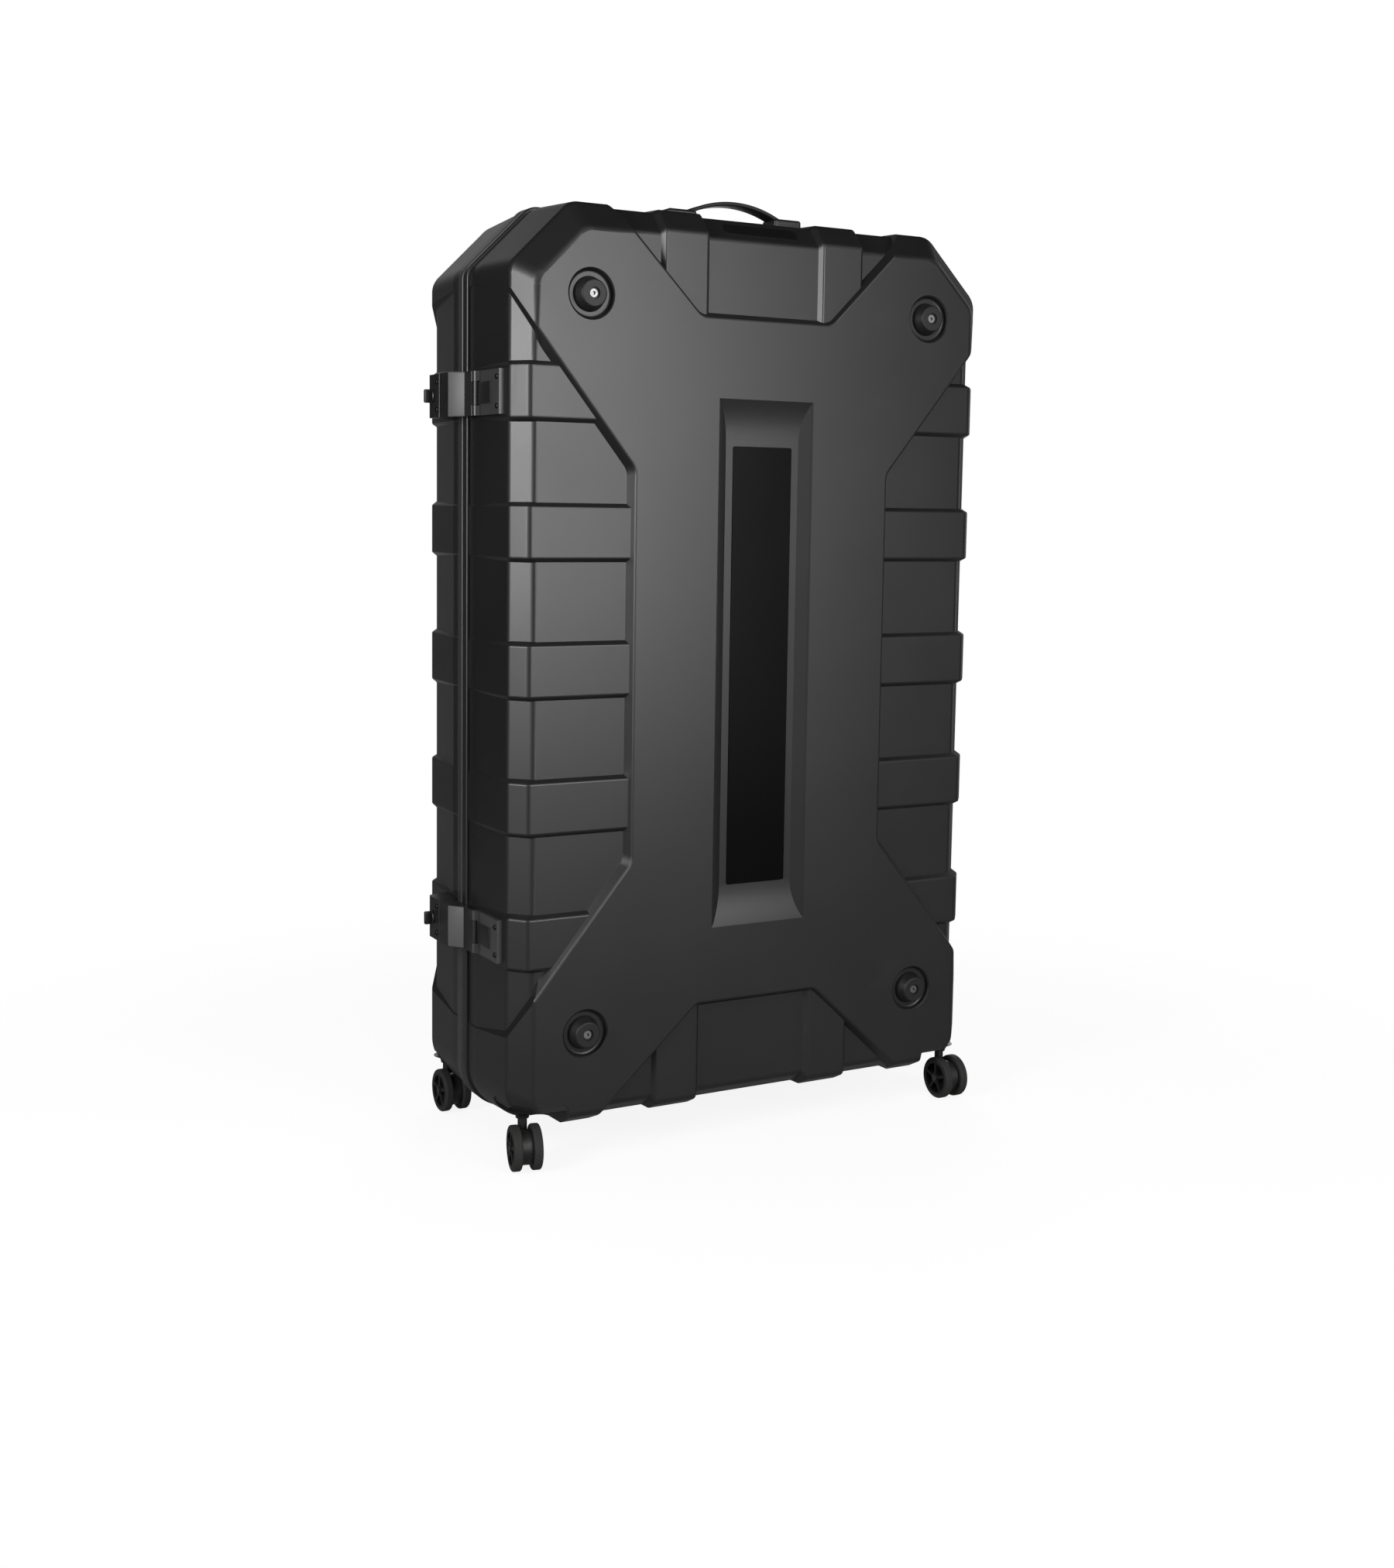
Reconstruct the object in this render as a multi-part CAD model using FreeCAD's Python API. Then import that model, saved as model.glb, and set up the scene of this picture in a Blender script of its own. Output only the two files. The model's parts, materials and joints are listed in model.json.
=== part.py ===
# Upright hard travel case for a bicycle: two ribbed half shells hinged along one long side,
# closed by two side latches and standing on four twin wheel swivel casters.
import FreeCAD, Part
import math
import os

# Case, in millimetres: X across, Y through the depth with the seam at zero, Z up from the floor
case_width = 744.0
case_depth = 336.0
case_height = 1230.0
pattern_shift = 4.5
skin = 3.2
corner_cut = 88.0
top_round = 28.0
low_round = 62.0
crease_round = 11.0
overrun = 5.0
tolerance = 0.005

# Seam: frame profiles on both shell edges with a rubber seal between them
seam_gap = 1.5
rim_setback = 8.0
rim_upright = 42.0
frame_depth = 16.0
frame_proud = 3.5
frame_inside = 8.0
frame_round = 2.5
seal_width = 4.0
seal_groove = 3.0
seal_inset = 1.0
face_clearance = 0.3

# Raised panel level: draft of the walls, facet round the front and its insets
raised_draft = 5.0
facet_depth = 31.0
facet_side = 25.0
facet_top = 36.0
facet_low = 16.0

# Band level, on the same walls and facets as the panel
band_drop = 7.0
band_width = 66.0
band_flank = 7.0
band_pitch = 180.0
band_count = 5
end_band_place = 122.5
end_band_width = 62.0
band_underlap = 20.0
lip_round = 3.6
lip_steps = 2

# Floor level between the bands
floor_drop = 13.5
floor_draft = 8.5
floor_rim_step = 1.0
floor_facet_depth = 26.5
floor_facet_side = 25.0
floor_facet_top = 29.0
floor_facet_low = 17.5
floor_sink = 2.0

# Crossed panel on the front of each shell
waist_reach = 173.2
waist_low_reach = 359.5
waist_top_reach = 345.5
side_slope = 1.228
facet_slope = 2.05
top_window_half = 102.0
top_window_reach = 143.5
top_slope = 1.0
low_window_half = 96.5
low_window_reach = 154.5
low_slope = 0.92
panel_flank = 8.0
panel_round = 22.0
panel_reach = 60.0

# Label recess in the panel and the plates that carry no print
recess_half = 71.5
recess_height = 722.0
recess_depth = 11.0
recess_side_slope = 14.0
recess_end_length = 55.0
recess_flare = 3.0
label_width = 92.5
label_height = 603.5
label_drop = 3.5
label_thick = 1.2
label_round = 3.0
badge_width = 112.0
badge_height = 17.0
badge_thick = 1.6
badge_round = 4.2

# Screwed feet over the posts that keep the shells from being crushed
foot_inset = 106.6
foot_low_inset = 133.5
foot_top_inset = 124.5
foot_recess_radius = 31.5
foot_recess_depth = 8.0
foot_recess_round = 4.0
foot_recess_flare = 2.0
foot_base_radius = 23.0
foot_face_radius = 17.5
foot_proud = 9.0
foot_round = 2.5
foot_bore_radius = 7.8
foot_head_sink = 3.0
foot_screw_radius = 3.0
foot_screw_length = 31.0
foot_head_radius = 5.4
foot_head_height = 5.0
foot_socket_radius = 2.6
foot_socket_depth = 3.0
foot_socket_sides = 6
post_radius = 15.0
post_base_radius = 24.0
post_base_height = 14.0

# Foam pads and tie straps inside
foam_inset = 50.0
foam_low_inset = 51.5
foam_top_inset = 58.5
foam_cut = 82.0
foam_round = 24.0
foam_thick = 30.0
foam_clearance = 0.4
strap_width = 38.0
strap_thick = 2.0
strap_rise = 225.0
strap_count = 2
buckle_length = 48.0
buckle_lip = 5.0
buckle_thick = 9.0

# Carrying handle on top of the front shell
handle_place = 58.5
handle_half = 70.0
handle_rise = 16.0
handle_thick = 5.2
handle_width = 28.0
handle_foot_near = 62.0
handle_foot_length = 44.5
handle_foot_width = 36.0
handle_foot_proud = 10.0
handle_foot_root = 24.0
handle_foot_round = 4.0
handle_sink = 1.5
handle_screw_share = 0.667

# Small pan head screws and rivets
screw_head_radius = 3.6
screw_head_height = 2.0
screw_shank_radius = 1.9
screw_length = 12.0
rivet_head_radius = 4.0
rivet_head_height = 1.6

# Latches on the left side, over the first and the last band
latch_height = 58.0
latch_axis_rise = 0.5
latch_axis_y = 52.0
latch_barrel_radius = 4.5
latch_pin_radius = 1.6
latch_knuckle = 13.0
latch_knuckle_gap = 0.5
latch_plate_far = 124.0
latch_plate_near = 58.0
latch_plate_out = 2.8
latch_tab_out = 4.0
latch_root = 20.0
latch_tab_half = 14.5
latch_tab_length = 42.0
lever_clearance = 1.0
lever_thick = 5.0
lever_round = 1.7
lever_start = 46.6
lever_ramp_start = 26.0
lever_ramp_end = -5.0
lever_end = 27.0
lever_crest_rise = 21.5
keeper_end = 74.0
keeper_slope = 8.0
keeper_screw_inset = 9.0
latch_screw_inset = 7.2
latch_screw_rise = 18.7
knob_place = 52.0
knob_disc_radius = 9.0
knob_disc_thick = 2.6
knob_grip_half = 9.0
knob_grip_thick = 6.4
knob_grip_height = 9.0
knob_round = 1.6
knob_shaft_radius = 3.0
knob_shaft_length = 9.0

# Hinges on the right side, over the middle bands
hinge_axis_rise = 14.0
hinge_barrel_radius = 6.0
hinge_pin_radius = 2.5
hinge_height = 58.0
hinge_knuckle = 19.0
hinge_gap = 0.5
hinge_leaf_thick = 3.3
hinge_leaf_near = 2.0
hinge_leaf_far = 44.0
hinge_count = 3
hinge_rivet_rise = 20.0
run_clearance = 0.05

# Twin wheel casters in pockets at the lower corners
caster_inset = 29.0
caster_setback = 31.0
pocket_reach = 85.0
pocket_depth = 84.0
pocket_rise = 41.5
pocket_round = 16.0
mount_thick = 9.6
mount_gap = 1.5
mount_neck_radius = 9.0
mount_cone_height = 10.4
mount_cone_clearance = 5.0
stem_radius = 5.0
neck_radius = 6.3
wheel_radius = 30.5
wheel_width = 12.0
wheel_spacing = 15.0
wheel_gap = 0.5
tyre_thick = 6.0
tyre_round = 2.6
hub_radius = 23.0
axle_radius = 3.0
axle_cap_radius = 5.0
axle_cap_thick = 1.2
caster_trail = 18.0
spoke_count = 5
spoke_width = 4.4
spoke_inner_radius = 8.0
spoke_outer_radius = 21.5
web_thick = 2.0
first_caster_turn = -12.0

# Derived levels and places
half_width = case_width / 2
panel_depth = case_depth / 2
mount_cone_low = 2 * wheel_radius + mount_cone_clearance
pocket_top = mount_cone_low + mount_cone_height + mount_thick
pocket_back = panel_depth - pocket_depth
rim_low = pocket_top - pocket_rise
rim_high = rim_low + case_height
pattern_height = (rim_low + rim_high) / 2 + pattern_shift
caster_place_x = half_width - caster_inset
caster_place_depth = panel_depth - caster_setback
waist_half = half_width - waist_reach
arm_bend = half_width - raised_draft - facet_side
waist_low = rim_low + waist_low_reach
waist_high = rim_high - waist_top_reach
top_window_edge = rim_high - top_window_reach
low_window_edge = rim_low + low_window_reach
foam_half = half_width - foam_inset
foam_low = rim_low + foam_low_inset
foam_high = rim_high - foam_top_inset
handle_top = rim_high + handle_foot_proud
handle_base = handle_top - handle_sink
latch_plate_top = half_width + latch_plate_out
latch_tab_top = half_width + latch_tab_out
lever_inside = half_width + frame_proud + lever_clearance
lever_crest = lever_inside + lever_crest_rise
latch_axis_x = lever_inside + latch_axis_rise
hinge_leaf_out = half_width + frame_proud + hinge_leaf_thick
hinge_axis_x = hinge_leaf_out + hinge_axis_rise
shoulder_depth = panel_depth - facet_depth
floor_depth = panel_depth - floor_drop
floor_shoulder = floor_depth - floor_facet_depth
foot_floor = panel_depth - foot_recess_depth
diagonal_share = 2 - math.sqrt(2)
band_share = (facet_depth - band_drop) / facet_depth
panel_level = {"step": 0, "draft": raised_draft, "shoulder": shoulder_depth, "face": panel_depth,
               "side": facet_side, "top": facet_top, "low": facet_low}
band_level = {"step": 0, "draft": raised_draft, "shoulder": shoulder_depth,
              "face": panel_depth - band_drop, "side": facet_side * band_share,
              "top": facet_top * band_share, "low": facet_low * band_share}
floor_level = {"step": floor_rim_step, "draft": floor_draft, "shoulder": floor_shoulder,
               "face": floor_depth, "side": floor_facet_side, "top": floor_facet_top,
               "low": floor_facet_low}


def point(x, y, z):
    return FreeCAD.Vector(x, y, z)


def corner_points(before, here, after):
    """Start, middle and end of the arc that rounds one corner, each as (u, v)."""
    radius = here[2]
    into = FreeCAD.Vector(here[0] - before[0], here[1] - before[1], 0).normalize()
    out = FreeCAD.Vector(after[0] - here[0], after[1] - here[1], 0).normalize()
    corner = FreeCAD.Vector(here[0], here[1], 0)
    half_turn = into.getAngle(out) / 2
    setback = radius * math.tan(half_turn)
    inward = (out - into).normalize() * (radius / math.cos(half_turn) - radius)
    stops = (corner - into * setback, corner + inward, corner + out * setback)
    return [(stop.x, stop.y) for stop in stops]


def rounded_wire(corners, place):
    """Closed wire through corners (u, v, radius), put in space by place(u, v)."""
    count = len(corners)
    spans = [corner_points(corners[i - 1], corners[i], corners[(i + 1) % count])
             for i in range(count)]
    edges = []
    for i, (start, middle, end) in enumerate(spans):
        if corners[i][2] > 0:
            edges.append(Part.Arc(place(*start), place(*middle), place(*end)).toShape())
        following = spans[(i + 1) % count][0]
        edges.append(Part.LineSegment(place(*end), place(*following)).toShape())
    return Part.Wire(edges)


def at_depth(depth):
    return lambda u, v: point(u, -depth, v)


def prism(corners, place, along):
    return Part.Face(rounded_wire(corners, place)).extrude(along)


def block(x_span, y_span, z_span):
    low = point(min(x_span), min(y_span), min(z_span))
    return Part.makeBox(abs(x_span[1] - x_span[0]), abs(y_span[1] - y_span[0]),
                        abs(z_span[1] - z_span[0]), low)


def rod(radius, start, end):
    return Part.makeCylinder(radius, (end - start).Length, start, end - start)


def edges_at_depth(shape, depth):
    return [edge for edge in shape.Edges
            if all(abs(vertex.Point.y + depth) < tolerance for vertex in edge.Vertexes)]


def mirrored(shape, normal):
    return shape.mirror(point(0, 0, 0), normal)


def to_back(shape):
    return mirrored(shape, point(0, 1, 0))


def to_left(shape):
    return mirrored(shape, point(1, 0, 0))


# Shell form
def outline(side, low, high):
    """Case outline pulled in from the rim by the given insets."""
    half = half_width - side
    bottom = rim_low + low
    top = rim_high - high
    cut = corner_cut - diagonal_share * (side + high) / 2
    bend = low_round - side
    return [(-half, bottom, bend), (half, bottom, bend),
            (half, top - cut, top_round), (half - cut, top, top_round),
            (cut - half, top, top_round), (-half, top - cut, top_round)]


def level_steps(level, edge, inward):
    """Inset and depth of a level's rim, of the end of its upright wall, its shoulder and its face."""
    depth = level["face"] - level["shoulder"]
    run = math.hypot(depth, level["side"])
    shoulder_shift = inward * (run - depth) / level["side"]
    face_shift = inward * (run - level["side"]) / depth
    upright = level["step"] + inward
    return [(upright, rim_setback), (upright, rim_upright),
            (level["draft"] + inward, level["shoulder"] - shoulder_shift),
            (level["draft"] + level[edge] + face_shift, level["face"] - inward)]


def level_body(level, inward):
    sides, tops, lows = [level_steps(level, edge, inward) for edge in ("side", "top", "low")]
    wires = [rounded_wire(outline(side[0], low[0], top[0]), at_depth(side[1]))
             for side, top, low in zip(sides, tops, lows)]
    body = Part.makeLoft(wires, True, True)
    creases = edges_at_depth(body, sides[2][1]) + edges_at_depth(body, sides[3][1])
    return body.makeFillet(crease_round - inward, creases)


def lip(run, drop):
    """Rounded top of a flank that falls by drop over run: (distance out, fall) pairs."""
    slope = math.atan2(drop, run)
    setback = lip_round * math.tan(slope / 2)
    turns = [slope * i / lip_steps for i in range(lip_steps + 1)]
    return [(lip_round * math.sin(turn) - setback, lip_round * (1 - math.cos(turn)))
            for turn in turns]


side_places = {
    "side": lambda reach, along, depth: point(half_width - reach, -depth, along),
    "top": lambda reach, along, depth: point(along, -depth, rim_high - reach),
    "low": lambda reach, along, depth: point(along, -depth, rim_low + reach)}


def band(edge, centre, width, reach, inward):
    """Raised band over one wall, its facet and the front, with sloping flanks."""
    half = width / 2 - inward
    lips = [(0, 0)] if inward else lip(band_flank, floor_drop - band_drop)
    flank = [(band_level, fall, half + out) for out, fall in lips]
    flank.append((floor_level, floor_sink, half + band_flank))
    sections = []
    for level, sink, offset in [(level, sink, -out) for level, sink, out in reversed(flank)] + flank:
        rim, upright, shoulder, face = level_steps(level, edge, inward + sink)
        bend = crease_round - inward
        corners = [(reach, rim[1], 0), (*rim, 0), (*upright, 0), (*shoulder, bend), (*face, bend),
                   (reach, face[1], 0)]
        place = side_places[edge]
        sections.append(rounded_wire(
            corners, lambda u, v, shift=offset: place(u, centre + shift, v)))
    return Part.makeLoft(sections, True, True)


band_heights = [pattern_height + band_pitch * (i - (band_count - 1) / 2)
                for i in range(band_count)]


def all_bands(inward):
    side_reach = half_width - waist_half + band_underlap
    top_reach = rim_high - top_window_edge + band_underlap
    low_reach = low_window_edge - rim_low + band_underlap
    bands = []
    for height in band_heights:
        right = band("side", height, band_width, side_reach, inward)
        bands += [right, to_left(right)]
    for edge, reach in (("top", top_reach), ("low", low_reach)):
        right = band(edge, end_band_place, end_band_width, reach, inward)
        bands += [right, to_left(right)]
    return bands


def panel_corners(grow, inward):
    """Outline of the crossed panel: grow widens it on the face alone, inward narrows it all over."""
    move = grow - inward
    far_x = half_width + panel_reach
    far_high = rim_high + panel_reach
    far_low = rim_low - panel_reach
    half = waist_half + move
    side_run = math.hypot(1, side_slope)
    facet_run = math.hypot(1, facet_slope)
    top_run = math.hypot(1, top_slope)
    low_run = math.hypot(1, low_slope)
    high = waist_high - move * (side_run - side_slope)
    low = waist_low + move * (side_run - side_slope)
    top_edge = top_window_edge + move
    low_edge = low_window_edge - move
    top_half = top_window_half - move * (top_run - 1) / top_slope
    low_half = low_window_half - move * (low_run - 1) / low_slope
    bend_x = arm_bend - (move * side_run + inward * facet_run) / (facet_slope - side_slope)
    bend = side_slope * (bend_x - half)
    arm = bend + facet_slope * (far_x - bend_x)
    right = [(top_half, top_edge, panel_round),
             (top_half + (far_high - top_edge) / top_slope, far_high, 0),
             (far_x, far_high, 0), (far_x, high + arm, 0), (bend_x, high + bend, panel_round),
             (half, high, panel_round), (half, low, panel_round), (bend_x, low - bend, panel_round),
             (far_x, low - arm, 0), (far_x, far_low, 0),
             (low_half + (low_edge - far_low) / low_slope, far_low, 0),
             (low_half, low_edge, panel_round)]
    left = [(-u, v, radius) for u, v, radius in reversed(right)]
    return list(reversed(right + left))


def panel_prism(inward):
    """Upright body whose common part with the panel level has sloping, rounded flanks."""
    steps = [(rim_setback, panel_flank), (floor_depth - floor_sink, panel_flank)]
    lips = [(0, 0)] if inward else lip(panel_flank, floor_drop)
    steps += [(panel_depth - fall, out) for out, fall in reversed(lips)]
    steps.append((panel_depth + overrun, steps[-1][1]))
    wires = [rounded_wire(panel_corners(grow, inward), at_depth(depth)) for depth, grow in steps]
    return Part.makeLoft(wires, True, True)


def recess_cutter(inward):
    """Label recess: straight sloping sides, and ends that scoop up in a large arc."""
    half = recess_half + inward
    rise = recess_height / 2 + inward
    face = panel_depth - inward
    floor = face - recess_depth
    right = [(half - recess_side_slope, floor, 0), (half, face - recess_flare / 2, 0),
             (half + recess_flare, face, 0), (half + recess_flare, face + overrun, 0)]
    across = right + [(-u, depth, radius) for u, depth, radius in reversed(right)]
    sides = prism(across, lambda u, depth: point(u, -depth, pattern_height - rise), point(0, 0, 2 * rise))
    radius = (recess_end_length ** 2 + recess_depth ** 2) / (2 * recess_depth)
    middle = floor + radius - math.sqrt(radius ** 2 - (recess_end_length / 2) ** 2)
    scoop = [(rise, face), (rise - recess_end_length / 2, middle), (rise - recess_end_length, floor)]
    high, low = [[point(-case_width, -depth, pattern_height + end * run) for run, depth in scoop]
                 for end in (1, -1)]
    above = [point(-case_width, -face - overrun, pattern_height + end * rise) for end in (1, -1)]
    profile = Part.Wire([Part.Arc(*high).toShape(), Part.LineSegment(high[-1], low[-1]).toShape(),
                         Part.Arc(*reversed(low)).toShape(), Part.LineSegment(low[0], above[1]).toShape(),
                         Part.LineSegment(above[1], above[0]).toShape(),
                         Part.LineSegment(above[0], high[0]).toShape()])
    return sides.common(Part.Face(profile).extrude(point(2 * case_width, 0, 0)))


foot_places = [(side * (half_width - foot_inset), height)
               for height in (rim_low + foot_low_inset, rim_high - foot_top_inset)
               for side in (-1, 1)]


def foot_cutters(inward):
    radius = foot_recess_radius + inward
    cutters = []
    for x, z in foot_places:
        well = rod(radius, point(x, inward - foot_floor, z), point(x, -panel_depth - overrun, z))
        well = well.makeFillet(foot_recess_round, edges_at_depth(well, foot_floor - inward))
        mouth = Part.makeCone(radius, radius + 2 * foot_recess_flare, 2 * foot_recess_flare,
                              point(x, foot_recess_flare - panel_depth, z), point(0, -1, 0))
        cutters += [well, mouth]
    return cutters


def pocket_cutters(inward):
    """Corner pockets that the casters are screwed into."""
    inner = half_width - pocket_reach - inward
    top = pocket_top + inward
    back = pocket_back - inward
    right = block((inner, half_width + pocket_reach), (-panel_depth - pocket_back, -back),
                  (-pocket_top, top))
    bends = []
    for edge in right.Edges:
        middle = edge.CenterOfMass
        flags = [abs(middle.x - inner) < tolerance, abs(middle.y + back) < tolerance,
                 abs(middle.z - top) < tolerance]
        if sum(flags) == 2:
            bends.append(edge)
    right = right.makeFillet(pocket_round, bends)
    return [right, to_left(right)]


def shell_form(inward):
    """Solid form of one half, pulled in by inward, with its recesses and pockets."""
    panel = level_body(panel_level, inward).common(panel_prism(inward))
    form = level_body(floor_level, inward).fuse(all_bands(inward) + [panel])
    cutters = [recess_cutter(inward)] + foot_cutters(inward) + pocket_cutters(inward)
    return form.cut(cutters).removeSplitter()


outer_form = shell_form(0)
bare_shell = outer_form.cut(shell_form(skin))


# Seam frames and seal
def rim_ring(outside, inside, start, end):
    """Ring that follows the rim between two insets, from depth start to end."""
    along = point(0, start - end, 0)
    big = prism(outline(-outside, -outside, -outside), at_depth(start), along)
    small = prism(outline(inside, inside, inside), at_depth(start), along)
    return big, small


frame_outer, frame_inner = rim_ring(frame_proud, frame_inside, seam_gap / 2, frame_depth)
frame_lips = [edge for depth in (seam_gap / 2, frame_depth)
              for edge in edges_at_depth(frame_outer, depth)]
frame_ring = frame_outer.makeFillet(frame_round, frame_lips).cut(frame_inner)
raised_form = level_body(band_level, 0)
frame_slot = raised_form.cut(level_body(floor_level, skin))
front_frame = frame_ring.cut(frame_slot)
plain_back_frame = to_back(front_frame)
seal_back = -seam_gap / 2 - seal_groove
seal_front = seam_gap / 2 - face_clearance
seal_outer, seal_inner = rim_ring(-seal_inset, seal_inset + seal_width, seal_front, seal_back)
seal = seal_outer.cut(seal_inner)
back_frame = plain_back_frame.cut(seal)


# Feet, their screws and the posts
def foot(x, z):
    cone = Part.makeCone(foot_base_radius, foot_face_radius, foot_recess_depth + foot_proud,
                         point(x, -foot_floor, z), point(0, -1, 0))
    rim = edges_at_depth(cone, foot_face)
    bore = rod(foot_bore_radius, point(x, -screw_face, z), point(x, -foot_face - overrun, z))
    return cone.makeFillet(foot_round, rim).cut(bore)


foot_face = panel_depth + foot_proud
screw_face = foot_face - foot_head_sink


def foot_screw(x, z):
    outer = point(x, -screw_face, z)
    shank = rod(foot_screw_radius, outer + point(0, foot_screw_length, 0), outer)
    head = rod(foot_head_radius, outer + point(0, foot_head_height, 0), outer)
    return shank.fuse(head)


def foot_socket(x, z):
    turns = [2 * math.pi * i / foot_socket_sides for i in range(foot_socket_sides)]
    corners = [(x + foot_socket_radius * math.cos(turn), z + foot_socket_radius * math.sin(turn), 0)
               for turn in turns]
    return prism(corners, at_depth(screw_face - foot_socket_depth),
                 point(0, -foot_socket_depth - overrun, 0))


def post(x, z):
    base = foot_floor - skin
    shaft = rod(post_radius, point(x, -base, z), point(x, -seam_gap / 2, z))
    flare = Part.makeCone(post_base_radius, post_radius, post_base_height, point(x, -base, z),
                          point(0, 1, 0))
    return shaft.fuse(flare)


screw_blanks = Part.makeCompound([foot_screw(x, z) for x, z in foot_places])
front_feet = Part.makeCompound([foot(x, z) for x, z in foot_places]).cut(screw_blanks)
front_posts = Part.makeCompound([post(x, z) for x, z in foot_places]).cut(screw_blanks)
foot_screws = screw_blanks.cut([foot_socket(x, z) for x, z in foot_places])
bare_shell = bare_shell.cut(screw_blanks)


# Foam pads
def foam():
    back = floor_depth - skin - foam_clearance
    corners = [(-foam_half, foam_low, foam_round), (foam_half, foam_low, foam_round),
               (foam_half, foam_high - foam_cut, foam_round),
               (foam_half - foam_cut, foam_high, foam_round),
               (foam_cut - foam_half, foam_high, foam_round),
               (-foam_half, foam_high - foam_cut, foam_round)]
    slab = prism(corners, at_depth(back), point(0, foam_thick, 0))
    holes = [rod(post_base_radius + foam_clearance, point(x, -back - overrun, z),
                 point(x, -back + foam_thick + overrun, z)) for x, z in foot_places]
    return slab.cut(holes)


front_foam = foam()
foam_face = floor_depth - skin - foam_clearance - foam_thick


# Tie straps over the back foam, with their buckles
def strap_section(half, face, far):
    return [(-half, far, 0), (-half, face, 0), (half, face, 0), (half, far, 0),
            (half - strap_thick, far, 0), (half - strap_thick, face + strap_thick, 0),
            (strap_thick - half, face + strap_thick, 0), (strap_thick - half, far, 0)]


def tie_strap(height):
    half = foam_half + foam_clearance + strap_thick
    face = foam_face - foam_clearance - strap_thick
    corners = strap_section(half, face, foam_face + foam_thick)
    low = height - strap_width / 2
    return prism(corners, lambda u, v: point(u, v, low), point(0, 0, strap_width))


def buckle(height):
    face = foam_face - foam_clearance
    rise = strap_width / 2 + buckle_lip
    body = block((-buckle_length / 2, buckle_length / 2), (face - buckle_thick, face),
                 (height - rise, height + rise))
    outer = [edge for edge in body.Edges
             if all(abs(vertex.Point.y - face) > face_clearance for vertex in edge.Vertexes)]
    return body.makeFillet(strap_thick, outer)


strap_heights = [pattern_height + strap_rise * (2 * i - strap_count + 1)
                 for i in range(strap_count)]
tie_straps = Part.makeCompound([tie_strap(height) for height in strap_heights])
strap_buckles = Part.makeCompound([buckle(height) for height in strap_heights]).cut(tie_straps)


# Small screws and rivets: head under the given point, shank along inward
def pan_screw(seat, inward):
    axis = point(*inward)
    shank = rod(screw_shank_radius, seat, seat + axis * screw_length)
    head = rod(screw_head_radius, seat, seat - axis * screw_head_height)
    return shank.fuse(head)


def rivet(seat, inward):
    axis = point(*inward)
    shank = rod(screw_shank_radius, seat, seat + axis * screw_length)
    head = rod(rivet_head_radius, seat, seat - axis * rivet_head_height)
    return shank.fuse(head)


# Plates that fill the label recess and the badge seat on the top facet
def label():
    half = label_width / 2
    low = pattern_height - label_drop - label_height / 2
    high = low + label_height
    corners = [(-half, low, label_round), (half, low, label_round),
               (half, high, label_round), (-half, high, label_round)]
    return prism(corners, at_depth(panel_depth - recess_depth), point(0, -label_thick, 0))


def badge():
    shoulder, face = level_steps(floor_level, "top", 0)[2:]
    run = math.hypot(face[0] - shoulder[0], face[1] - shoulder[1])
    down = point(0, (shoulder[1] - face[1]) / run, (shoulder[0] - face[0]) / run)
    out = point(0, down.z, -down.y)
    middle = point(0, -(shoulder[1] + face[1]) / 2, rim_high - (shoulder[0] + face[0]) / 2)
    half = badge_width / 2
    rise = badge_height / 2
    bend = badge_round
    corners = [(-half, -rise, bend), (half, -rise, bend), (half, rise, bend), (-half, rise, bend)]
    return prism(corners, lambda u, v: middle + point(u, 0, 0) + down * v, out * badge_thick)


label_plate = label()
badge_plate = badge()


# Handle
def handle():
    radius = (handle_half ** 2 + handle_rise ** 2) / (2 * handle_rise)
    centre = handle_base + handle_rise - radius
    back = point(0, -handle_place + handle_width / 2, centre)
    front = point(0, -handle_place - handle_width / 2, centre)
    hollow = rod(radius - handle_thick / 2, front, back)
    ring = rod(radius + handle_thick / 2, front, back).cut(hollow)
    reach = handle_half + handle_thick
    keep = block((-reach, reach), (front.y, back.y), (handle_base - handle_thick, centre + 2 * radius))
    return ring.common(keep)


def handle_foot():
    x_span = (handle_foot_near, handle_foot_near + handle_foot_length)
    half = handle_foot_width / 2
    root = rim_high - handle_foot_root
    body = block(x_span, (-handle_place - half, -handle_place + half), (root, handle_top))
    shown = [edge for edge in body.Edges if edge.BoundBox.ZMax > root + tolerance]
    seat = band("top", end_band_place, end_band_width, top_window_reach, 0)
    return body.makeFillet(handle_foot_round, shown).cut([level_body(floor_level, 0), seat])


handle_strap = handle()
handle_foot_right = handle_foot().cut(handle_strap)
handle_screw_x = handle_foot_near + handle_foot_length * handle_screw_share
handle_screws = [pan_screw(point(side * handle_screw_x, -handle_place, handle_top), (0, 0, -1))
                 for side in (-1, 1)]


# Latches, drawn round height zero and copied to the first and the last band
latch_heights = {"upper": band_heights[-1], "lower": band_heights[0]}


def latch_base():
    half = latch_height / 2
    deep = half_width - latch_root
    plate = block((-latch_plate_top, -deep), (-latch_plate_far, -latch_plate_near), (-half, half))
    tab = block((-latch_tab_top, -deep), (-latch_plate_near - latch_tab_length, -latch_plate_near),
                (-latch_tab_half, latch_tab_half))
    pieces = [tab]
    for end in (-1, 1):
        span = (end * (half - latch_knuckle), end * half)
        axis = [point(-latch_axis_x, -latch_axis_y, z) for z in sorted(span)]
        pieces.append(rod(latch_barrel_radius, *axis))
        pieces.append(block((-latch_axis_x, -deep), (-latch_plate_near - overrun, -latch_axis_y), span))
    return plate.fuse(pieces)


def latch_pin():
    half = latch_height / 2
    return rod(latch_pin_radius, point(-latch_axis_x, -latch_axis_y, -half),
               point(-latch_axis_x, -latch_axis_y, half))


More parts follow.
